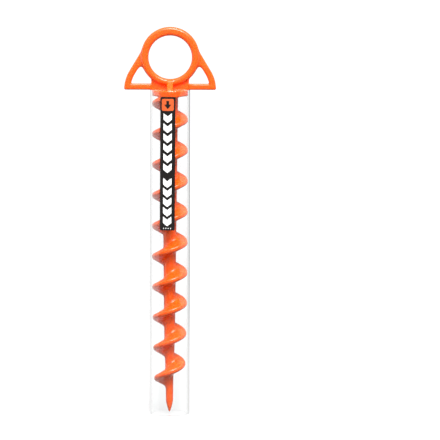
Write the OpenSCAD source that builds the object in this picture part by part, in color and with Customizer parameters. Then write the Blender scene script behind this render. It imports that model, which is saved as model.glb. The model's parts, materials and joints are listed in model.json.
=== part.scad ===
// Screw-in tent stake stored in its clear tube.
// One moulded stake (ring eye, two line loops, plug, shank and screw blade) hangs point down in a
// clear tube that is open at its foot. The loops' cross bar sits on the tube's rim, and the stake
// pulls straight up out of the tube. Origin: centre of the tube's foot. +Z runs up to the ring,
// and the ring is seen face on along Y.

/* [Clear tube] */
// Outside diameter of the tube
tube_d = 33; // [32.7:0.1:34]
// Wall thickness of the tube
tube_wall = 1.5; // [1.4:0.1:1.6]
// Length of the tube, which is also the height of the cross bar's underside
tube_length = 268.4; // [240:0.2:300]

/* [Ring eye] */
// Diameter of the ring's bore
eye_d = 35.7; // [34:0.1:38]
// Width of the ring's band at its sides
band_w = 6.15; // [5:0.05:6.5]
// How much thicker the band is at the crown than at the sides
crown_extra = 0.9; // [0:0.1:1.2]
// Depth of the ring from front face to back face
ring_depth = 10; // [9:0.5:12]
// Radius of the ring's four edges
ring_edge_r = 1.8; // [1:0.1:2]
// Height of the bore's centre above the cross bar's underside
eye_rise = 26.7; // [26:0.1:27.5]

/* [Line loops] */
// Width from the outside of one loop to the outside of the other
loop_span = 75.6; // [72:0.2:80]
// Radius of each loop's outer side
loop_side_r = 30; // [29:0.5:31]
// Slant of each loop's straight side from the vertical, in degrees
side_lean = 31; // [30:0.5:32]
// Width of each loop's slanting side bar
side_bar_w = 5.2; // [4.6:0.1:5.6]
// Height of the cross bar
cross_bar_h = 5; // [4:0.1:5.4]
// Depth of the loops from front to back
loop_depth = 5.5; // [4:0.1:5.8]
// Radius of the round where a side bar's inner edge meets the ring
loop_corner_r = 1.8; // [1:0.1:2.6]

/* [Plug and neck] */
// Diameter of the plug that fills the tube's mouth
plug_d = 29.4; // [29:0.05:29.8]
// Height of the plug
plug_h = 4.5; // [4:0.1:6]
// How far the plug's upper face lies below the tube's rim
plug_drop = 0.6; // [0.5:0.1:1.5]
// Thickness of the neck's web
web_t = 3.6; // [3:0.1:5]
// Thickness of the gusset in front of and behind the web
gusset_t = 5; // [4:0.1:6]

/* [Screw] */
// Rise of the blade in one turn
pitch = 25.3; // [23:0.1:27]
// Outside diameter of the blade
blade_d = 29.6; // [28:0.1:29.8]
// How much smaller the blade's diameter is at its point end
blade_taper = 4.8; // [3:0.1:5]
// Thickness of the blade at its rim
rim_t = 3.2; // [2.6:0.1:4]
// Slope of the blade's two faces towards its root, in degrees
flank_slope = 22; // [10:1:24]
// Shank diameter under the plug
shank_top_d = 13.2; // [12:0.1:15]
// Shank diameter above the spike, where the straight taper ends
shank_low_d = 9.2; // [8.6:0.1:11]
// Diameter of the spike
spike_d = 6; // [5:0.1:7]
// Length of the pointed end
point_length = 11; // [8:0.5:14]
// Height of the point above the tube's foot
point_inset = 1; // [1:0.5:4]
// Height at which the blade's rim crosses the +X side for the first time
first_lobe_z = 41.8; // [38:0.1:44]

/* [Label] */
// Length of the label along the tube
label_length = 109.6; // [90:0.2:130]
// Width of the label, measured straight across
label_w = 12.3; // [10:0.1:14]
// Thickness of the label
label_t = 0.2; // [0.1:0.05:0.3]
// Distance of the label's upper end below the tube's rim
label_drop = 5.1; // [3:0.1:20]
// How far round the tube the label sits from the front, in degrees
label_turn = -6.3; // [-20:0.1:20]
// How far the label leans on the tube, in degrees, upper end towards +X
label_lean = 0.2; // [-1:0.1:1]
// Radius of the label's corners
label_corner_r = 1.6; // [1:0.1:3]

/* [Hidden] */
$fn = 96;

moulding_colour = [1, 0.38, 0.1];
tube_colour = [0.9, 0.95, 0.97, 0.3];
label_colour = [0.08, 0.07, 0.07];

tube_r = tube_d / 2;
tube_bore_r = tube_r - tube_wall;

// Heights of the head
bar_z = tube_length;
eye_z = bar_z + eye_rise;
eye_r = eye_d / 2;
ring_r = eye_r + band_w;
ring_z = eye_z + crown_extra;

// Loops: each outer outline is an arc about side_x, and a straight side that follows it into the
// ring. side_gap is the distance of the straight side's line from the ring's centre.
side_x = loop_span / 2 - loop_side_r;
ring_rise = ring_z - bar_z;
side_normal = [cos(side_lean), sin(side_lean)];
side_gap = loop_side_r + side_x * side_normal[0] - ring_rise * side_normal[1];

// Plug and neck
plug_r = plug_d / 2;
plug_top_z = bar_z - plug_drop;
plug_low_z = plug_top_z - plug_h;
plug_edge = 0.5;
web_half_w = plug_r + 0.5;
gusset_reach = plug_r - 0.7;
gusset_rise = 7;

// Shank: a straight taper, less a smooth drop to the spike's diameter
shank_knee_z = 80;
shank_drop_z = [22, 70];
shank_slope = (shank_top_d - shank_low_d) / 2 / (plug_low_z - shank_knee_z);
spike_z = point_inset + point_length;
point_r = 0.3;
function ease(t) = let (u = min(max(t, 0), 1)) u * u * (3 - 2 * u);
function taper_r(z) = shank_top_d / 2 - (plug_low_z - z) * shank_slope;
spike_drop = taper_r(spike_z) - spike_d / 2;
function shank_r(z) = taper_r(z)
    - spike_drop * ease((shank_drop_z[1] - z) / (shank_drop_z[1] - shank_drop_z[0]));
function point_profile_r(u) = point_r + (spike_d / 2 - point_r) * (1 - pow(1 - u, 1.6));

// Blade: a section swept round the shank. Angles are in turns from the +X side.
blade_r = blade_d / 2;
rim_chamfer = 1.1;
sections_per_turn = 36;
run_out_turns = 0.35;
first_turn = -0.85;
last_turn = (plug_low_z + rim_t / 4 - first_lobe_z) / pitch;
blade_taper_turns = 5;
root_gap = 0.01;
function blade_z(turn) = first_lobe_z + pitch * turn;
function full_rim_r(turn) = blade_r
    - blade_taper / 2 * pow(1 - min((turn - first_turn) / blade_taper_turns, 1), 2);
function run_out(turn) = ease((turn - first_turn) / run_out_turns);
function rim_r(turn) = let (root = shank_r(blade_z(turn)) + rim_chamfer + 0.2)
    root + (full_rim_r(turn) - root) * run_out(turn);
// A flat facet round the shank has its middle on the shank's surface, not inside it
function root_r(z) = shank_r(z) / cos(180 / sections_per_turn) + root_gap;

// Label
label_top_z = tube_length - label_drop;

module clear_tube() {
    color(tube_colour)
    difference() {
        cylinder(r = tube_r, h = tube_length);
        translate([0, 0, -1])
            cylinder(r = tube_bore_r, h = tube_length + 2);
    }
}

// A flat rectangle in the XY plane with round corners, standing on y = 0
module round_corner_plate(w, h, r) {
    translate([-w / 2, r])
        square([w, h - 2 * r]);
    translate([-w / 2 + r, 0])
        square([w - 2 * r, h]);
    for (x = [-w / 2 + r, w / 2 - r], y = [r, h - r])
        translate([x, y])
            circle(r = r);
}

module label() {
    color(label_colour)
    rotate([0, 0, label_turn])
    intersection() {
        difference() {
            cylinder(r = tube_r + label_t, h = tube_length);
            translate([0, 0, -1])
                cylinder(r = tube_r, h = tube_length + 2);
        }
        translate([0, 0, label_top_z - label_length / 2])
            rotate([90, label_lean, 0])
                linear_extrude(height = tube_d)
                    translate([0, -label_length / 2])
                        round_corner_plate(label_w, label_length, label_corner_r);
    }
}

// A disc about the Z axis with rounded edges
module round_edge_disc(r, h, edge_r) {
    rotate_extrude() {
        translate([0, -h / 2])
            square([r - edge_r, h]);
        translate([0, -h / 2 + edge_r])
            square([r, h - 2 * edge_r]);
        for (y = [-h / 2 + edge_r, h / 2 - edge_r])
            translate([r - edge_r, y])
                circle(r = edge_r, $fn = 32);
    }
}

module ring_outside() {
    translate([0, 0, ring_z])
        rotate([90, 0, 0])
            round_edge_disc(ring_r, ring_depth, ring_edge_r);
}

// The bore widens to both faces by a quarter round, and is a true cylinder between them
module eye_bore() {
    mouth_r = eye_r + ring_edge_r;
    translate([0, 0, eye_z])
        rotate([90, 0, 0])
            rotate_extrude()
                difference() {
                    translate([0, -ring_depth / 2 - 1])
                        square([mouth_r, ring_depth + 2]);
                    translate([eye_r, -ring_depth / 2 + ring_edge_r])
                        square([mouth_r, ring_depth - 2 * ring_edge_r]);
                    for (y = [-ring_depth / 2 + ring_edge_r, ring_depth / 2 - ring_edge_r])
                        translate([mouth_r, y])
                            circle(r = ring_edge_r, $fn = 32);
                }
}

module ring_eye() {
    color(moulding_colour)
    difference() {
        ring_outside();
        eye_bore();
    }
}

// The area inside a loop's outer edge, moved in by inset. x runs out from the stake's axis and
// y up from the cross bar's underside. The straight side ends inside the ring.
module loop_outline(inset) {
    side_touch = [side_x, 0] + (loop_side_r - inset) * side_normal;
    side_end = [0, ring_rise] + (side_gap - inset) * side_normal;
    intersection() {
        translate([side_x, 0])
            circle(r = loop_side_r - inset);
        square([loop_span, side_touch[1]]);
    }
    polygon([[0, side_touch[1]], side_touch, side_end, [0, side_end[1]]]);
}

// The loop's opening: inside the bars, beyond the neck and outside the ring, with a round where
// the side bar's inner edge meets the ring
module loop_opening() {
    ring_centre = [0, ring_rise];
    // The round's centre is loop_corner_r from the side bar's inner edge and from the ring
    edge_from_ring = side_gap - side_bar_w - loop_corner_r;
    down_bar = sqrt(pow(ring_r + loop_corner_r, 2) - pow(edge_from_ring, 2));
    corner = ring_centre + edge_from_ring * side_normal
        + down_bar * [side_normal[1], -side_normal[0]];
    bar_touch = corner + loop_corner_r * side_normal;
    ring_touch = corner + loop_corner_r * (ring_centre - corner) / norm(ring_centre - corner);
    difference() {
        intersection() {
            loop_outline(side_bar_w);
            polygon([
                [web_half_w, cross_bar_h], [loop_span, cross_bar_h],
                [loop_span, bar_touch[1]], bar_touch, corner, ring_touch,
                [web_half_w, ring_touch[1]]
            ]);
        }
        translate(ring_centre)
            circle(r = ring_r);
    }
    translate(corner)
        circle(r = loop_corner_r);
}

// The line loop on the +X side
module line_loop() {
    color(moulding_colour)
    difference() {
        translate([0, 0, bar_z])
            rotate([90, 0, 0])
                linear_extrude(height = loop_depth, center = true)
                    difference() {
                        loop_outline(0);
                        loop_opening();
                        translate([-1, -1])
                            square([web_half_w + 1, loop_span]);
                    }
        translate([0, 0, ring_z])
            rotate([90, 0, 0])
                cylinder(r = ring_r, h = 2 * ring_depth, center = true);
    }
}

module right_line_loop() {
    line_loop();
}

module left_line_loop() {
    mirror([1, 0, 0])
        line_loop();
}

// One gusset on each face of the web, from the plug's rim to the ring's face
module gussets() {
    rotate([90, 0, 90])
        linear_extrude(height = gusset_t, center = true)
            polygon([
                [-gusset_reach, plug_top_z], [gusset_reach, plug_top_z],
                [gusset_reach, bar_z],
                [ring_depth / 2, bar_z + gusset_rise], [-ring_depth / 2, bar_z + gusset_rise],
                [-gusset_reach, bar_z]
            ]);
}

module neck_web() {
    color(moulding_colour)
    difference() {
        union() {
            translate([-web_half_w, -web_t / 2, bar_z])
                cube([2 * web_half_w, web_t, ring_rise / 2]);
            intersection() {
                translate([-web_half_w, -web_t / 2, plug_top_z])
                    cube([2 * web_half_w, web_t, plug_drop]);
                translate([0, 0, plug_top_z])
                    cylinder(r = plug_r, h = plug_drop);
            }
            gussets();
        }
        ring_outside();
        translate([0, 0, ring_z])
            rotate([90, 0, 0])
                cylinder(r = ring_r, h = ring_depth - 2 * ring_edge_r, center = true);
    }
}

module tube_plug() {
    color(moulding_colour)
    translate([0, 0, plug_low_z]) {
        cylinder(r1 = plug_r - plug_edge, r2 = plug_r, h = plug_edge);
        translate([0, 0, plug_edge])
            cylinder(r = plug_r, h = plug_h - 2 * plug_edge);
        translate([0, 0, plug_h - plug_edge])
            cylinder(r1 = plug_r, r2 = plug_r - plug_edge, h = plug_edge);
    }
}

module shank() {
    point_steps = 8;
    taper_steps = 16;
    color(moulding_colour)
    rotate_extrude()
        polygon([
            [0, point_inset],
            for (i = [0 : point_steps]) let (u = i / point_steps)
                [point_profile_r(u), point_inset + u * point_length],
            for (i = [0 : taper_steps])
                let (z = shank_drop_z[0] + (shank_drop_z[1] - shank_drop_z[0]) * i / taper_steps)
                [shank_r(z), z],
            [shank_r(plug_low_z), plug_low_z],
            [0, plug_low_z]
        ]);
}

// The blade's section at a turn, as [radius, height] points. It starts at the root on the point
// side, runs round the rim and ends at the root on the ring side, under the plug.
function blade_section(turn) =
    let (
        z = blade_z(turn),
        r = rim_r(turn),
        low_z = z - rim_t / 2,
        high_z = z + rim_t / 2,
        flare = (r - shank_r(z)) * tan(flank_slope),
        points = [
            [root_r(low_z - flare), low_z - flare],
            [r - rim_chamfer, low_z],
            [r, low_z + rim_chamfer],
            [r, high_z - rim_chamfer],
            [r - rim_chamfer, high_z],
            [root_r(high_z + flare), high_z + flare]
        ]
    )
    [for (p = points) [p[0], min(p[1], plug_low_z)]];

module screw_blade() {
    steps = floor((last_turn - first_turn) * sections_per_turn);
    sections = [for (i = [0 : steps]) blade_section(first_turn + i / sections_per_turn)];
    n = len(sections[0]);
    points = [
        for (i = [0 : steps]) let (a = 360 * (first_turn + i / sections_per_turn))
            for (p = sections[i]) [p[0] * cos(a), p[0] * sin(a), p[1]]
    ];
    sides = [
        for (i = [0 : steps - 1], k = [0 : n - 1])
            let (a = i * n + k, b = i * n + (k + 1) % n)
            each [[a, b + n, b], [a, a + n, b + n]]
    ];
    // Both ends are closed by triangles that share the section's second point
    fan = [for (k = [2 : n - 1]) [1, k, (k + 1) % n]];
    end = steps * n;
    end_cap = [for (t = fan) [end + t[0], end + t[2], end + t[1]]];
    color(moulding_colour)
        polyhedron(points, concat(sides, fan, end_cap));
}

clear_tube();
label();
ring_eye();
left_line_loop();
right_line_loop();
neck_web();
tube_plug();
shank();
screw_blade();
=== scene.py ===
"""A screw-in tent stake in its clear tube: the looks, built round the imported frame.

The moulding's shape is written as a distance field in millimetres, with its fillets, and meshed
once. The tube, the label and its print are built from the frame's sizes. Everything else in the
file is in metres.
"""

import json
import math

import bmesh
import bpy
import numpy as np
from mathutils import Matrix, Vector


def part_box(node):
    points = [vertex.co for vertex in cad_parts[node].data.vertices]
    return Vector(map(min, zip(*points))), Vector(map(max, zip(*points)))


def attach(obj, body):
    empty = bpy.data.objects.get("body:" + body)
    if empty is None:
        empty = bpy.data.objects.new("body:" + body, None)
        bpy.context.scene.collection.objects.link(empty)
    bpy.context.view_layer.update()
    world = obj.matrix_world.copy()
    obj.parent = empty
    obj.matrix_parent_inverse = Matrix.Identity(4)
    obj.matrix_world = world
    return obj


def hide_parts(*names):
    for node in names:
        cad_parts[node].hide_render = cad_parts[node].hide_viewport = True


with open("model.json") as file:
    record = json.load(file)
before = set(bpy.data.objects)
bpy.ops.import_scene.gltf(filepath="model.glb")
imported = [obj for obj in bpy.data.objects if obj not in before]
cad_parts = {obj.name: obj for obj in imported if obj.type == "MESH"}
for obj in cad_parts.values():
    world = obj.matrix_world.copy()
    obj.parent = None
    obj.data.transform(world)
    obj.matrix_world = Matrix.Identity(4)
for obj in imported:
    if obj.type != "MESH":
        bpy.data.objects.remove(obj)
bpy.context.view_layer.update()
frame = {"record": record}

MM = 0.001


# ---------------------------------------------------------------- sizes, in millimetres


def box_mm(node):
    """(lowest corner, highest corner) of a CAD node, in millimetres."""
    low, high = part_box(node)
    return np.array(low) / MM, np.array(high) / MM


def mount(name):
    """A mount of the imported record, by name."""
    return next(m for m in frame["record"]["mounts"] if m["name"] == name)


ring_low, ring_high = box_mm("ring_eye")
RING_R = (ring_high[0] - ring_low[0]) / 2
RING_Z = (ring_high[2] + ring_low[2]) / 2
RING_DEPTH = ring_high[1] - ring_low[1]
RING_ROUND = 2.5
EYE_R = mount("ring_bore")["dims"]["r_mm"]
EYE_Z = mount("ring_bore")["pos_m"][2] / MM

loop_low, loop_high = box_mm("right_line_loop")
BAR_Z = loop_low[2]
BAR_H = 5.0
LOOP_DEPTH = loop_high[1] - loop_low[1]
LOOP_EDGE_R = 1.5
LOOP_CORNER_R = 1.4
LOOP_TOP_Z = RING_Z + RING_R / 2
SIDE_BAR_W = 5.2
LOOP_SIDE_R = 30.0
SIDE_X = loop_high[0] - LOOP_SIDE_R
SIDE_LEAN = math.radians(31)
OPENING_TOP_R = 5.7
OPENING_NECK_R = 1.0
OPENING_CORNER_R = 1.4
NECK_CUT_R = 0.6
# How far the loops and the web reach into the ring
RING_OVERLAP = 2.5

web_high = box_mm("neck_web")[1]
NECK_HALF_W = web_high[0]
WEB_T = 3.6
WEB_EDGE_R = 0.6
WEB_LOW_Z = BAR_Z - 3
WEB_HIGH_Z = BAR_Z + 13
WEB_INSET = 0.5
GUSSET_T = 5.0
GUSSET_REACH = web_high[1]
GUSSET_RISE = 7.0
GUSSET_FOOT = 1.6
GUSSET_EDGE_R = 0.7

plug_low, plug_high = box_mm("tube_plug")
PLUG_R = plug_high[0]
PLUG_EDGE_R = 0.9

shank_low, shank_high = box_mm("shank")
SHANK_TOP_R = shank_high[0]
SHANK_TOP_Z = shank_high[2]
POINT_Z = shank_low[2]
SHANK_LOW_R = 4.6
SHANK_LOW_Z = 80.0
SHANK_DROP_Z = (22.0, 70.0)
SPIKE_R = 3.0
POINT_LENGTH = 11.0
POINT_R = 0.25
POINT_FULLNESS = 1.6
# The shank's sloping sides are a little nearer than the level distance to them
SHANK_STEEPNESS = 0.95
# The shank ends inside the plug
SHANK_END_Z = plug_high[2] - 1

PITCH = 25.3
BLADE_R = box_mm("screw_blade")[1][0]
BLADE_TAPER = 2.4
BLADE_TAPER_TURNS = 5.0
RIM_T = 3.2
RIM_EDGE_R = RIM_T * 0.42
FLANK_SLOPE = math.radians(22)
FIRST_LOBE_Z = 41.8
FIRST_TURN = -0.92
RUN_OUT_TURNS = 0.42
RUN_OUT_DEPTH = 2.5

# Fillets where the moulding's features meet
BLADE_FILLET = 2.6
PLUG_FILLET = 2.0
LOOP_FILLET = 1.1
NECK_FILLET = 1.2
GUSSET_FILLET = 1.0
HEAD_FILLET = 0.6

tube_high = box_mm("clear_tube")[1]
TUBE_R = tube_high[0]
TUBE_BORE_R = 2 * mount("tube_foot")["pos_m"][0] / MM - TUBE_R
TUBE_LENGTH = tube_high[2]
TUBE_EDGE_R = 0.3

label_low, label_high = box_mm("label")
LABEL_T = 0.2
LABEL_TOP_Z = label_high[2]
LABEL_LENGTH = label_high[2] - label_low[2] - 0.05
LABEL_W = 12.3
LABEL_CORNER_R = 1.6
LABEL_TURN = math.radians(-6.3)
LABEL_LEAN = math.radians(0.2)

# The label's layers, each from and to a share of its thickness
FILM_LAYER = (0.0, 0.8)
BADGE_LAYER = (0.75, 0.9)
MARKS_LAYER = (0.75, 0.95)
ARROW_LAYER = (0.85, 1.0)


# ---------------------------------------------------------------- the moulding's distance field


def ease(t):
    """0 below 0, 1 above 1, and a smooth step between."""
    u = np.clip(t, 0, 1)
    return u * u * (3 - 2 * u)


def join(a, b, fillet):
    """Both solids, with a fillet where they meet."""
    near = np.maximum(fillet - np.abs(a - b), 0)
    return np.minimum(a, b) - near * near / (4 * fillet)


def common(a, b, fillet):
    """What both solids share, with its edges eased."""
    return -join(-a, -b, fillet)


def common_round(a, b, radius):
    """What both solids share, with a round of this radius along the edge where they meet."""
    u, v = a + radius, b + radius
    outside = np.hypot(np.maximum(u, 0), np.maximum(v, 0))
    return outside + np.minimum(np.maximum(u, v), 0) - radius


def ring_field(x, y, z):
    band = np.maximum(np.hypot(x, z - RING_Z) - RING_R, EYE_R - np.hypot(x, z - EYE_Z))
    return common_round(band, np.abs(y) - RING_DEPTH / 2, RING_ROUND)


def outline_field(x, z):
    """Distance outside the loops' outer edge: an arc, and the straight side that follows it."""
    dx, dz = np.abs(x) - SIDE_X, z - BAR_Z
    up_side = dz * math.cos(SIDE_LEAN) - dx * math.sin(SIDE_LEAN)
    straight = dx * math.cos(SIDE_LEAN) + dz * math.sin(SIDE_LEAN) - LOOP_SIDE_R
    return np.where(up_side > 0, straight, np.hypot(dx, dz) - LOOP_SIDE_R)


def clear_of_ring(flat, x, z):
    """The flat shape without the middle of the ring, which it reaches just far enough to join."""
    return np.maximum(flat, RING_R - RING_OVERLAP - np.hypot(x, z - RING_Z))


def loops_field(x, y, z):
    outline = outline_field(x, z)
    plate = common_round(outline, BAR_Z - z, LOOP_CORNER_R)
    plate = clear_of_ring(np.maximum(plate, z - LOOP_TOP_Z), x, z)
    beside_ring = common(outline + SIDE_BAR_W, RING_R - np.hypot(x, z - RING_Z), OPENING_TOP_R)
    beside_neck = common(NECK_HALF_W - np.abs(x), BAR_Z + BAR_H - z, OPENING_NECK_R)
    opening = common(beside_ring, beside_neck, OPENING_CORNER_R)
    flat = np.maximum(plate, -join(opening, np.abs(x) - NECK_HALF_W, NECK_CUT_R))
    return common_round(flat, np.abs(y) - LOOP_DEPTH / 2, LOOP_EDGE_R)


def neck_field(x, y, z):
    """The web under the ring, and the gusset on each of its faces."""
    upright = np.maximum(WEB_LOW_Z - z, z - WEB_HIGH_Z)
    flat = np.maximum(np.abs(x) - NECK_HALF_W, upright)
    web = common_round(clear_of_ring(flat, x, z), np.abs(y) - WEB_T / 2, WEB_EDGE_R)
    in_the_tube = np.minimum(BAR_Z - z, np.hypot(x, y) - PLUG_R + WEB_INSET)
    web = np.maximum(web, in_the_tube)
    run = GUSSET_REACH - RING_DEPTH / 2
    slope = math.atan2(GUSSET_RISE, run)
    front = (np.abs(y) - GUSSET_REACH) * math.sin(slope) + (z - BAR_Z) * math.cos(slope)
    front = np.maximum(front, np.abs(y) - GUSSET_REACH)
    span = np.maximum(BAR_Z - GUSSET_FOOT - z, z - BAR_Z - GUSSET_RISE)
    gusset = common_round(np.abs(x) - GUSSET_T / 2, front, GUSSET_EDGE_R)
    return join(web, np.maximum(gusset, span), GUSSET_FILLET)


def plug_field(x, y, z):
    middle, half = (plug_low[2] + plug_high[2]) / 2, (plug_high[2] - plug_low[2]) / 2
    return common_round(np.hypot(x, y) - PLUG_R, np.abs(z - middle) - half, PLUG_EDGE_R)


def shank_radius(z):
    """A straight taper, less a smooth drop to the spike, and the round point under it."""
    taper = (SHANK_TOP_R - SHANK_LOW_R) / (SHANK_TOP_Z - SHANK_LOW_Z)
    straight = SHANK_TOP_R - (SHANK_TOP_Z - z) * taper
    spike_top = POINT_Z + POINT_LENGTH
    drop = SHANK_TOP_R - (SHANK_TOP_Z - spike_top) * taper - SPIKE_R
    low, high = SHANK_DROP_Z
    radius = straight - drop * ease((high - z) / (high - low))
    u = np.clip((z - POINT_Z) / POINT_LENGTH, 0, 1)
    point = POINT_R + (SPIKE_R - POINT_R) * (1 - (1 - u) ** POINT_FULLNESS)
    return np.where(z < spike_top, point, radius)


def blade_field(x, y, z):
    """The screw blade: a tapering section that rises one pitch in each turn."""
    r = np.hypot(x, y)
    part_turn = np.arctan2(y, x) / (2 * math.pi)
    rise = z - FIRST_LOBE_Z - PITCH * part_turn
    turn = part_turn + np.round(rise / PITCH)
    from_middle = np.abs(rise - PITCH * np.round(rise / PITCH))
    root = shank_radius(z)
    taper = np.clip(1 - (turn - FIRST_TURN) / BLADE_TAPER_TURNS, 0, 1) ** 2
    rim = BLADE_R - BLADE_TAPER * taper
    buried = root - RUN_OUT_DEPTH
    rim = buried + (rim - buried) * ease((turn - FIRST_TURN) / RUN_OUT_TURNS)
    thickness = RIM_T / 2 + (rim - r) * math.tan(FLANK_SLOPE)
    across = np.cos(np.arctan2(PITCH / (2 * math.pi), r)) * math.cos(FLANK_SLOPE)
    return common_round((from_middle - thickness) * across, r - rim, RIM_EDGE_R)


def stake_field(x, y, z):
    """The whole moulding: negative inside, in millimetres."""
    r = np.hypot(x, y)
    shank = np.maximum(r - shank_radius(z), POINT_Z - z) * SHANK_STEEPNESS
    screw = join(np.maximum(shank, z - SHANK_END_Z), blade_field(x, y, z), BLADE_FILLET)
    screw = np.maximum(screw, z - SHANK_END_Z)
    screw = np.maximum(join(screw, plug_field(x, y, z), PLUG_FILLET), r - PLUG_R)
    head = join(ring_field(x, y, z), loops_field(x, y, z), LOOP_FILLET)
    head = join(head, neck_field(x, y, z), NECK_FILLET)
    return join(head, screw, HEAD_FILLET)


# ---------------------------------------------------------------- meshes

MESH_STEP = 0.62
MESH_MARGIN = 2.3 * MESH_STEP
LEAST_SLOPE_SQUARED = 0.2
TUBE_SEGMENTS = 160
# Rings along the tube's long walls, the outer ones close to the rounds to keep the shading straight
WALL_RINGS = (0.01, 0.1, 0.3, 0.5, 0.7, 0.9, 0.99)
# The widest strip of a flat outline that is laid on the tube as one face
WRAP_STEP = 0.5


def surface_net(field, low, step):
    """Points and quads of the field's zero surface: one point in each cell that it crosses."""
    quads, crossings = [], []
    for axis in range(3):
        u, v = (axis + 1) % 3, (axis + 2) % 3
        count = field.shape[axis]
        a = field.take(range(count - 1), axis)
        b = field.take(range(1, count), axis)
        edges = np.argwhere((a < 0) != (b < 0))
        value_a, value_b = a[tuple(edges.T)], b[tuple(edges.T)]
        crossing = edges.astype(float)
        crossing[:, axis] += value_a / (value_a - value_b)
        around = []
        for du, dv in ((-1, -1), (0, -1), (0, 0), (-1, 0)):
            cell = edges.copy()
            cell[:, u] += du
            cell[:, v] += dv
            around.append(np.ravel_multi_index(cell.T, field.shape))
        around = np.stack(around, 1)
        outward = value_a < 0
        quads.append(np.where(outward[:, None], around, around[:, ::-1]))
        crossings.append(np.repeat(crossing, 4, axis=0))
    quads = np.concatenate(quads)
    # Each quad's four cells share its crossing, whichever way round they are listed
    crossings = np.concatenate(crossings)
    corner = np.unique(quads, return_inverse=True)[1].ravel()
    share = np.bincount(corner)
    points = np.stack([np.bincount(corner, crossings[:, i]) / share for i in range(3)], 1)
    return low + points * step, corner.reshape(-1, 4)


def field_at(points):
    """The moulding's field at each row of an array of points."""
    return stake_field(points[:, 0], points[:, 1], points[:, 2])


def settle(points, quads, rounds=3, probe=0.05):
    """Evens the points out along the surface, and puts each back on the field's zero."""
    ends = np.concatenate([quads[:, [i, (i + 1) % 4]] for i in range(4)])
    ends = np.concatenate([ends, ends[:, ::-1]])
    share = np.bincount(ends[:, 0])[:, None]
    for _ in range(rounds):
        slope = np.stack(
            [
                (field_at(points + probe * axis) - field_at(points - probe * axis)) / (2 * probe)
                for axis in np.eye(3)
            ],
            1,
        )
        steep = np.maximum((slope * slope).sum(1, keepdims=True), LEAST_SLOPE_SQUARED)
        middle = np.stack([np.bincount(ends[:, 0], points[ends[:, 1], i]) for i in range(3)], 1)
        drift = 0.5 * (middle / share - points)
        drift -= slope * (drift * slope).sum(1, keepdims=True) / steep
        points = points + drift
        points = points - slope * field_at(points)[:, None] / steep
    return points


def add_mesh(name, points, faces, material):
    """A smooth-shaded mesh object, from points in metres."""
    mesh = bpy.data.meshes.new(name)
    mesh.from_pydata(np.asarray(points).tolist(), [], [list(f) for f in faces])
    mesh.validate()
    mesh.polygons.foreach_set("use_smooth", [True] * len(mesh.polygons))
    mesh.materials.append(material)
    piece = bpy.data.objects.new(name, mesh)
    bpy.context.scene.collection.objects.link(piece)
    return piece


def make_moulding(material):
    """The whole stake as one skin."""
    low = np.array([-loop_high[0], -PLUG_R, POINT_Z]) - MESH_MARGIN
    high = np.array([loop_high[0], PLUG_R, ring_high[2]]) + MESH_MARGIN
    axes = [np.arange(low[i], high[i], MESH_STEP) for i in range(3)]
    x, y, z = np.meshgrid(*axes, indexing="ij", sparse=True)
    points, quads = surface_net(stake_field(x, y, z), low, MESH_STEP)
    points = settle(points, quads)
    return add_mesh("stake_moulding", points * MM, quads.tolist(), material)


def make_tube(material):
    """The tube's wall turned about Z, with its four edges rounded."""
    outer, inner = TUBE_R - TUBE_EDGE_R, TUBE_BORE_R + TUBE_EDGE_R
    foot, mouth = TUBE_EDGE_R, TUBE_LENGTH - TUBE_EDGE_R
    rings = []
    for r, z, first, up_wall in (
        (outer, foot, -90, 1),
        (outer, mouth, 0, 0),
        (inner, mouth, 90, -1),
        (inner, foot, 180, 0),
    ):
        for i in range(5):
            angle = math.radians(first + 22.5 * i)
            rings.append((r + TUBE_EDGE_R * math.cos(angle), z + TUBE_EDGE_R * math.sin(angle)))
        if up_wall:
            wall_r, start = rings[-1]
            rings += [(wall_r, start + up_wall * share * (mouth - foot)) for share in WALL_RINGS]
    return add_revolved("clear_tube_shell", rings, TUBE_SEGMENTS, material)


def add_revolved(name, rings, segments, material):
    """A closed outline of (radius, height) in millimetres, turned about Z."""
    points, faces = [], []
    for s in range(segments):
        angle = 2 * math.pi * s / segments
        points += [(r * math.cos(angle) * MM, r * math.sin(angle) * MM, z * MM) for r, z in rings]
    n = len(rings)
    for s in range(segments):
        here, after = s * n, (s + 1) % segments * n
        for k in range(n):
            j = (k + 1) % n
            faces.append((here + k, after + k, after + j, here + j))
    return add_mesh(name, points, faces, material)


def round_corners(w, h, r, steps=6):
    """Outline of a rectangle with round corners, centred on the origin."""
    points = []
    for cx, cy, first in (
        (w / 2 - r, -h / 2 + r, -90),
        (w / 2 - r, h / 2 - r, 0),
        (-w / 2 + r, h / 2 - r, 90),
        (-w / 2 + r, -h / 2 + r, 180),
    ):
        for i in range(steps + 1):
            angle = math.radians(first + 90 * i / steps)
            points.append((cx + r * math.cos(angle), cy + r * math.sin(angle)))
    return points


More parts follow.
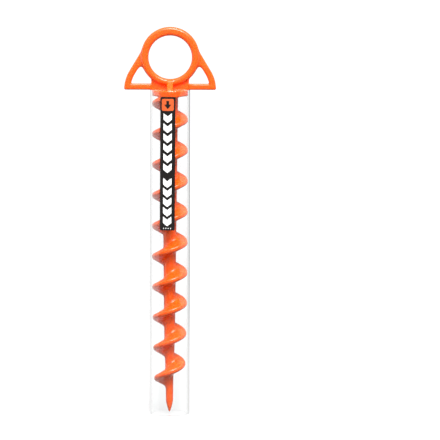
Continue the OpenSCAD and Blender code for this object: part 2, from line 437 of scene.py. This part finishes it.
def wrap_on_tube(name, outlines, layer, material):
    """Flat outlines in the label's own plane, in millimetres from its upper end, laid round the
    tube as thin solids in one of the label's layers."""
    bottom, top = LABEL_T * layer[0], LABEL_T * layer[1]
    bm = bmesh.new()
    for outline in outlines:
        bm.faces.new([bm.verts.new((u, 0, v)) for u, v in outline])
    cuts = math.ceil(LABEL_W / 2 / WRAP_STEP) + 1
    for i in range(-cuts, cuts + 1):
        geometry = bm.verts[:] + bm.edges[:] + bm.faces[:]
        place = (i * WRAP_STEP, 0, 0)
        bmesh.ops.bisect_plane(bm, geom=geometry, plane_co=place, plane_no=(1, 0, 0))
    bmesh.ops.recalc_face_normals(bm, faces=bm.faces[:])
    grown = bmesh.ops.extrude_face_region(bm, geom=bm.faces[:])
    for item in grown["geom"]:
        if isinstance(item, bmesh.types.BMVert):
            item.co.y = 1
    for vert in bm.verts:
        u, v = leaned(vert.co.x, vert.co.z)
        r = TUBE_R + (top if vert.co.y < 0.5 else bottom)
        angle = math.asin(u / TUBE_R) + LABEL_TURN
        vert.co = (r * math.sin(angle) * MM, -r * math.cos(angle) * MM, (LABEL_TOP_Z + v) * MM)
    bmesh.ops.recalc_face_normals(bm, faces=bm.faces[:])
    mesh = bpy.data.meshes.new(name)
    bm.to_mesh(mesh)
    bm.free()
    mesh.materials.append(material)
    piece = bpy.data.objects.new(name, mesh)
    bpy.context.scene.collection.objects.link(piece)
    return piece


def leaned(u, v):
    """A point of the label's plane, turned about the label's middle by its lean."""
    v += LABEL_LENGTH / 2
    cos, sin = math.cos(LABEL_LEAN), math.sin(LABEL_LEAN)
    return u * cos + v * sin, v * cos - u * sin - LABEL_LENGTH / 2


def shifted(outline, u, v):
    """An outline moved in the label's plane."""
    return [(a + u, b + v) for a, b in outline]


# ---------------------------------------------------------------- materials


def new_material(name):
    """A material with one Principled node: (material, its nodes, its links, the shader)."""
    material = bpy.data.materials.new(name)
    material.use_nodes = True
    tree = material.node_tree
    return material, tree.nodes, tree.links, tree.nodes["Principled BSDF"]


def add_noise(nodes, links, coords, scale, detail=2.0, stretch=None):
    """Noise of so many features to the metre, drawn out along an axis if stretch says so."""
    noise = nodes.new("ShaderNodeTexNoise")
    noise.inputs["Scale"].default_value = scale
    noise.inputs["Detail"].default_value = detail
    if stretch:
        mapping = nodes.new("ShaderNodeMapping")
        mapping.inputs["Scale"].default_value = stretch
        links.new(coords, mapping.inputs["Vector"])
        coords = mapping.outputs["Vector"]
    links.new(coords, noise.inputs["Vector"])
    return noise.outputs["Fac"]


def add_range(nodes, links, value, low, high, from_low=0.3, from_high=0.7):
    """value, spread over low to high."""
    spread = nodes.new("ShaderNodeMapRange")
    spread.inputs["From Min"].default_value = from_low
    spread.inputs["From Max"].default_value = from_high
    spread.inputs["To Min"].default_value = low
    spread.inputs["To Max"].default_value = high
    links.new(value, spread.inputs["Value"])
    return spread.outputs["Result"]


def add_colours(nodes, links, factor, first, second):
    """A colour between two, as the factor says."""
    mix = nodes.new("ShaderNodeMix")
    mix.data_type = "RGBA"
    mix.inputs["A"].default_value = (*first, 1)
    mix.inputs["B"].default_value = (*second, 1)
    links.new(factor, mix.inputs["Factor"])
    return mix.outputs["Result"]


def add_bump(nodes, links, shader, height, distance):
    """Relief on the shader, this many metres high where height is 1."""
    bump = nodes.new("ShaderNodeBump")
    bump.inputs["Distance"].default_value = distance
    links.new(height, bump.inputs["Height"])
    links.new(bump.outputs["Normal"], shader.inputs["Normal"])


def object_coords(nodes):
    """The piece's own coordinates, in metres, as a texture socket."""
    return nodes.new("ShaderNodeTexCoord").outputs["Object"]


def add_maths(nodes, links, operation, first, second=None):
    """One Math node. first and second are sockets or numbers."""
    node = nodes.new("ShaderNodeMath")
    node.operation = operation
    for socket, value in zip(node.inputs, (first, second)):
        if isinstance(value, bpy.types.NodeSocket):
            links.new(value, socket)
        elif value is not None:
            socket.default_value = value
    return node.outputs[0]


def orange_plastic():
    """Glossy moulded plastic that glows red in its own shade, with a soft flow pattern, fine
    orange peel and a parting line."""
    material, nodes, links, shader = new_material("orange_plastic")
    coords = object_coords(nodes)
    flow = add_noise(nodes, links, coords, 45, 3, stretch=(1, 1, 0.35))
    colour = add_colours(nodes, links, flow, (0.93, 0.1, 0.003), (0.95, 0.118, 0.005))
    links.new(colour, shader.inputs["Base Color"])
    links.new(
        add_range(nodes, links, add_noise(nodes, links, coords, 240), 0.24, 0.34),
        shader.inputs["Roughness"],
    )
    shader.inputs["IOR"].default_value = 1.5
    shader.inputs["Subsurface Weight"].default_value = 0.3
    shader.inputs["Subsurface Radius"].default_value = (1.0, 0.25, 0.08)
    shader.inputs["Subsurface Scale"].default_value = 0.004
    peel = add_noise(nodes, links, coords, 900, 2)
    axes = nodes.new("ShaderNodeSeparateXYZ")
    links.new(coords, axes.inputs["Vector"])
    from_parting = add_maths(nodes, links, "ABSOLUTE", axes.outputs["Y"])
    parting = add_range(nodes, links, from_parting, 1.0, 0.0, 0.0, 0.00035)
    height = add_maths(nodes, links, "MULTIPLY_ADD", peel, 0.25)
    links.new(parting, height.node.inputs[2])
    add_bump(nodes, links, shader, height, 0.00006)
    return material


def clear_plastic():
    """Clear tube stock, drawn lengthways. Light on its way to what is inside passes straight
    through, and the eye sees it bend."""
    material, nodes, links, shader = new_material("clear_plastic")
    coords = object_coords(nodes)
    shader.inputs["Transmission Weight"].default_value = 1.0
    shader.inputs["IOR"].default_value = 1.36
    colour = add_colours(
        nodes, links, add_noise(nodes, links, coords, 30), (0.975, 0.98, 0.98), (0.985, 0.99, 0.99)
    )
    links.new(colour, shader.inputs["Base Color"])
    links.new(
        add_range(nodes, links, add_noise(nodes, links, coords, 120), 0.0, 0.02),
        shader.inputs["Roughness"],
    )
    lines = add_noise(nodes, links, coords, 300, 2, stretch=(1, 1, 0.02))
    add_bump(nodes, links, shader, lines, 0.000002)
    rays = nodes.new("ShaderNodeLightPath")
    lighting = add_maths(
        nodes, links, "MAXIMUM", rays.outputs["Is Shadow Ray"], rays.outputs["Is Diffuse Ray"]
    )
    mirrored = add_maths(
        nodes,
        links,
        "SUBTRACT",
        rays.outputs["Is Glossy Ray"],
        rays.outputs["Is Transmission Ray"],
    )
    lighting = add_maths(nodes, links, "MAXIMUM", lighting, mirrored)
    straight = nodes.new("ShaderNodeBsdfTransparent")
    straight.inputs["Color"].default_value = (0.93, 0.93, 0.93, 1)
    mix = nodes.new("ShaderNodeMixShader")
    links.new(lighting, mix.inputs["Fac"])
    links.new(shader.outputs["BSDF"], mix.inputs[1])
    links.new(straight.outputs["BSDF"], mix.inputs[2])
    links.new(mix.outputs["Shader"], nodes["Material Output"].inputs["Surface"])
    return material


def printed_film(name, dark, light, roughness):
    """A printed film or ink: nearly flat colour with a little mottle and a satin surface."""
    material, nodes, links, shader = new_material(name)
    coords = object_coords(nodes)
    shader.inputs["Specular IOR Level"].default_value = 0.35
    links.new(
        add_colours(nodes, links, add_noise(nodes, links, coords, 260, 3), dark, light),
        shader.inputs["Base Color"],
    )
    links.new(
        add_range(
            nodes, links, add_noise(nodes, links, coords, 900), roughness - 0.05, roughness + 0.07
        ),
        shader.inputs["Roughness"],
    )
    add_bump(nodes, links, shader, add_noise(nodes, links, coords, 1400), 0.00001)
    return material


def pale_floor():
    """A near-white floor that mostly glows, so that shadows on it stay faint."""
    material, nodes, links, shader = new_material("pale_floor")
    mottle = add_noise(nodes, links, object_coords(nodes), 2)
    links.new(
        add_colours(nodes, links, mottle, (0.13, 0.13, 0.13), (0.14, 0.14, 0.14)),
        shader.inputs["Base Color"],
    )
    shader.inputs["Emission Color"].default_value = (1, 1, 1, 1)
    shader.inputs["Emission Strength"].default_value = 0.78
    shader.inputs["Roughness"].default_value = 0.9
    shader.inputs["Specular IOR Level"].default_value = 0.0
    return material


# ---------------------------------------------------------------- stage

FLOOR_RADIUS = 40
GROUND_CARD_DROP = 0.07
CARD_TOP = 0.5
CARD_FADE = 0.045
FAR_CARD = 0.45
NEAR_CARD = 0.09


def make_floor():
    """A pale floor, lit from beneath as a light table is. Neither its light nor its reflection
    reaches the object, so that undersides stay in shade."""
    bm = bmesh.new()
    bmesh.ops.create_circle(bm, cap_ends=True, segments=64, radius=FLOOR_RADIUS)
    mesh = bpy.data.meshes.new("floor")
    bm.to_mesh(mesh)
    bm.free()
    mesh.materials.append(pale_floor())
    floor = bpy.data.objects.new("floor", mesh)
    floor.visible_diffuse = False
    floor.visible_glossy = False
    bpy.context.scene.collection.objects.link(floor)


def new_glow(name, strength):
    """A white light for a card, which fades into the pale floor at its foot."""
    material = bpy.data.materials.new(name)
    material.use_nodes = True
    nodes, links = material.node_tree.nodes, material.node_tree.links
    nodes.remove(nodes["Principled BSDF"])
    glow = nodes.new("ShaderNodeEmission")
    axes = nodes.new("ShaderNodeSeparateXYZ")
    links.new(object_coords(nodes), axes.inputs["Vector"])
    at_foot = (strength + 1) / 2
    fade = add_range(nodes, links, axes.outputs["Z"], at_foot, strength, 0.0, CARD_FADE)
    links.new(fade, glow.inputs["Strength"])
    links.new(glow.outputs["Emission"], nodes["Material Output"].inputs["Surface"])
    return material


def make_card(name, seen_by, radius, first, last, strength):
    """An upright curved card round the object. It shows only in what the object reflects, or only
    through the tube's wall. Angles are in degrees from the front, towards +X."""
    material = new_glow(name, strength)
    steps = 24
    points, faces = [], []
    for i in range(steps + 1):
        angle = math.radians(first + (last - first) * i / steps)
        for z in (-GROUND_CARD_DROP, CARD_TOP):
            points.append((radius * math.sin(angle), -radius * math.cos(angle), z))
    for i in range(steps):
        faces.append((2 * i, 2 * i + 2, 2 * i + 3, 2 * i + 1))
    card = add_mesh(name, points, faces, material)
    show_only_to(card, seen_by)


def show_only_to(card, seen_by):
    """Makes a card part of the stage, seen by one kind of ray."""
    for rays in ("camera", "diffuse", "glossy", "transmission", "volume_scatter", "shadow"):
        setattr(card, "visible_" + rays, rays == seen_by)


def make_ground_card():
    """What the object reflects in place of the floor: a pale disc a little below it."""
    points, steps = [], 48
    for i in range(steps):
        angle = -2 * math.pi * i / steps
        points.append((FAR_CARD * math.sin(angle), FAR_CARD * math.cos(angle), -GROUND_CARD_DROP))
    material = new_glow("ground_card", 0.85)
    show_only_to(add_mesh("ground_card", points, [range(steps)], material), "glossy")


def make_light():
    """An even sky that is brighter overhead, a soft key light from above the front, and a softer
    fill from the front."""
    world = bpy.data.worlds.new("studio")
    world.use_nodes = True
    bpy.context.scene.world = world
    nodes, links = world.node_tree.nodes, world.node_tree.links
    axes = nodes.new("ShaderNodeSeparateXYZ")
    links.new(nodes.new("ShaderNodeTexCoord").outputs["Generated"], axes.inputs["Vector"])
    strength = add_range(nodes, links, axes.outputs["Z"], 0.22, 0.38, -0.05, 0.05)
    overhead = add_range(nodes, links, axes.outputs["Z"], 0.0, 1.0, 0.0, 1.0)
    strength = add_maths(nodes, links, "ADD", strength, overhead)
    # The tube's cut ends gather light from all round, and stay bright
    through = nodes.new("ShaderNodeLightPath").outputs["Is Transmission Ray"]
    through = add_maths(nodes, links, "MULTIPLY", through, 0.9)
    links.new(
        add_maths(nodes, links, "MAXIMUM", strength, through), nodes["Background"].inputs["Strength"]
    )
    nodes["Background"].inputs["Color"].default_value = (1, 1, 1, 1)

    for name, energy, spread, tilt, turn in (
        ("key", 5.0, 34, 36, 14),
        ("fill", 1.05, 70, 78, -8),
    ):
        light = bpy.data.lights.new(name, "SUN")
        light.energy = energy
        light.angle = math.radians(spread)
        lamp = bpy.data.objects.new(name, light)
        lamp.rotation_euler = (math.radians(tilt), 0, math.radians(turn))
        lamp.visible_glossy = name == "key"
        bpy.context.scene.collection.objects.link(lamp)


def make_camera():
    """A long lens, a little above the object's middle. The object stands left of centre."""
    distance, elevation, roll = 2.6, math.radians(5.2), math.radians(0.2)
    width_seen = 0.3631
    look_at = (0.0414, 0, 0.161)
    lens = bpy.data.cameras.new("camera")
    lens.lens = lens.sensor_width * distance / width_seen
    lens.clip_end = 100
    camera = bpy.data.objects.new("camera", lens)
    camera.matrix_world = (
        Matrix.Translation(look_at)
        @ Matrix.Rotation(math.pi / 2 - elevation, 4, "X")
        @ Matrix.Rotation(roll, 4, "Z")
        @ Matrix.Translation((0, 0, distance))
    )
    bpy.context.scene.collection.objects.link(camera)
    bpy.context.scene.camera = camera
    bpy.context.scene.view_settings.view_transform = "Standard"


# ---------------------------------------------------------------- the object


def make_label():
    """The film, and the print on it: a badge with a turning arrow, and chevrons to the point."""
    black = printed_film("label_black", (0.008, 0.006, 0.0055), (0.011, 0.009, 0.008), 0.4)
    white = printed_film("label_white", (0.9, 0.9, 0.89), (0.95, 0.95, 0.94), 0.4)
    orange = printed_film("label_orange", (0.62, 0.095, 0.018), (0.66, 0.11, 0.022), 0.4)
    film = shifted(round_corners(LABEL_W, LABEL_LENGTH, LABEL_CORNER_R), 0, -LABEL_LENGTH / 2)
    pieces = [wrap_on_tube("label_film", [film], FILM_LAYER, black)]
    badge_w, badge_corner_r, badge_v = 9.8, 1.3, -6.5
    badge = shifted(round_corners(badge_w, badge_w, badge_corner_r), 0, badge_v)
    pieces.append(wrap_on_tube("label_badge", [badge], BADGE_LAYER, orange))
    arrow = [(-1.1, 3.2), (1.1, 3.2), (1.1, 0.2), (3.0, 0.2), (0, -3.4), (-3.0, 0.2), (-1.1, 0.2)]
    arrow = shifted(arrow, 0, badge_v)
    pieces.append(wrap_on_tube("label_badge_arrow", [arrow], ARROW_LAYER, black))
    half_w, tall, point = 3.4, 5.3, 2.7
    upper = [(-half_w, 0), (0, -point), (half_w, 0)]
    chevron = upper + shifted(reversed(upper), 0, -tall)
    marks = []
    # Two groups of chevrons, as the first one's place, how many, and the distance between them
    for start, count, step in ((-13.3, 6, 8.2), (-66.5, 5, 7.9)):
        for i in range(count):
            marks.append(shifted(chevron, 0, start - step * i))
    tick_half_w, tick_half_h, tick_step, tick_v = 0.28, 0.45, 1.9, 1.7 - LABEL_LENGTH
    tick = [
        (-tick_half_w, tick_half_h),
        (tick_half_w, tick_half_h),
        (tick_half_w, -tick_half_h),
        (-tick_half_w, -tick_half_h),
    ]
    for i in range(4):
        marks.append(shifted(tick, tick_step * (i - 1.5), tick_v))
    pieces.append(wrap_on_tube("label_marks", marks, MARKS_LAYER, white))
    for piece in pieces:
        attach(piece, "tube")
    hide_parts("label")


make_camera()
make_light()
make_floor()
# Name, the rays that see it, radius, first and last angle, strength
for card in (
    ("flag_front", "glossy", FAR_CARD, -60, 60, 0.06),
    ("card_right", "glossy", FAR_CARD, 60, 130, 0.95),
    ("flag_back", "glossy", FAR_CARD, 130, 215, 0.4),
    ("card_left", "glossy", FAR_CARD, 215, 250, 1.0),
    ("lamp_left", "glossy", FAR_CARD, 250, 300, 1.7),
    ("edge_right", "transmission", NEAR_CARD, 98, 145, 0.7),
    ("edge_left", "transmission", NEAR_CARD, 222, 262, 0.82),
):
    make_card(*card)
make_ground_card()

moulding = make_moulding(orange_plastic())
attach(moulding, "stake")
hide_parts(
    "ring_eye",
    "left_line_loop",
    "right_line_loop",
    "neck_web",
    "tube_plug",
    "shank",
    "screw_blade",
)

tube = make_tube(clear_plastic())
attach(tube, "tube")
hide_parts("clear_tube")

make_label()
